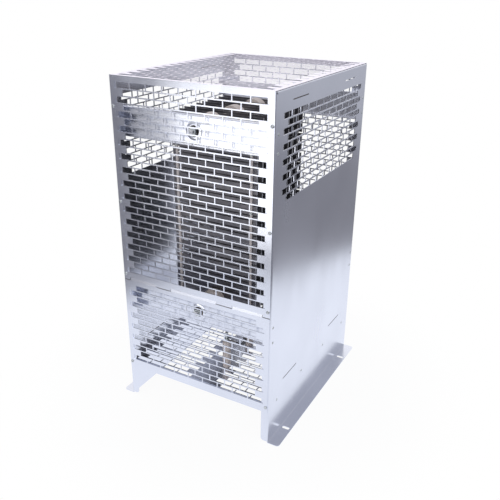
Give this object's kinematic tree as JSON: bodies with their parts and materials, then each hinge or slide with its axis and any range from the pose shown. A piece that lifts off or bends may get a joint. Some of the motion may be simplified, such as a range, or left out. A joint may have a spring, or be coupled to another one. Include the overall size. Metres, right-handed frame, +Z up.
{
  "type": "braking resistor",
  "caption": "Free-standing perforated sheet-metal cabinet with slotted feet, round a bank of punched steel resistor grids on insulated rods above a terminal compartment with a hooked cover.",
  "frame": {"origin": "middle of the footprint, on the surface that the feet stand on", "axes": "+Z up; -Y towards the front, where the terminal cover is; +X to the right seen from the front"},
  "size_m": [0.484, 0.5348, 0.866],
  "materials": {
    "casing_steel": "bright cold-rolled stainless sheet, satin",
    "element_steel": "dark grey heat-resistant resistor alloy, satin",
    "ceramic": "cream unglazed steatite ceramic",
    "bush_insulator": "dark mica laminate",
    "fastener_steel": "bright stainless steel",
    "tinned_lug": "tin-plated copper",
    "lead_sleeve": "dark glass-fibre sleeve over stranded copper"
  },
  "bodies": {
    "cage": {"side_wall_right": "casing_steel", "side_wall_left": "casing_steel", "top_grille": "casing_steel", "front_grille": "casing_steel", "rear_grille": "casing_steel", "floor_grille": "casing_steel", "upper_rail_front": "casing_steel", "upper_rail_rear": "casing_steel", "lower_rail_front": "casing_steel", "lower_rail_rear": "casing_steel", "upper_rod": "fastener_steel", "upper_beads": "ceramic", "upper_discs": "ceramic", "lower_rod": "fastener_steel", "lower_beads": "ceramic", "lower_discs": "ceramic", "rod_bushes": "bush_insulator", "rod_washers": "fastener_steel", "rod_nuts": "fastener_steel", "spacer_tubes": "fastener_steel", "grid_01": "element_steel", "grid_02": "element_steel", "grid_03": "element_steel", "grid_04": "element_steel", "grid_05": "element_steel", "grid_06": "element_steel", "grid_07": "element_steel", "grid_08": "element_steel", "grid_09": "element_steel", "grid_10": "element_steel", "edge_bars": "ceramic", "upper_jumpers": "element_steel", "lower_jumpers": "element_steel", "front_post": "ceramic", "rear_post": "ceramic", "post_screws": "fastener_steel", "terminal_studs": "fastener_steel", "terminal_nuts": "fastener_steel", "lead_lugs": "tinned_lug", "end_tabs": "element_steel", "front_lead": "lead_sleeve", "rear_lead": "lead_sleeve", "front_grille_screws": "fastener_steel", "rear_grille_screws": "fastener_steel"},
    "cover": {"terminal_cover": "casing_steel", "cover_screws": "fastener_steel"}
  },
  "joints": [
    {"name": "cover_tilt", "type": "hinge", "parent": "cage", "child": "cover", "pos_m": [0, -0.2635, 0.357], "axis": [-1, 0, 0], "range_deg": [0, 45]}
  ]
}
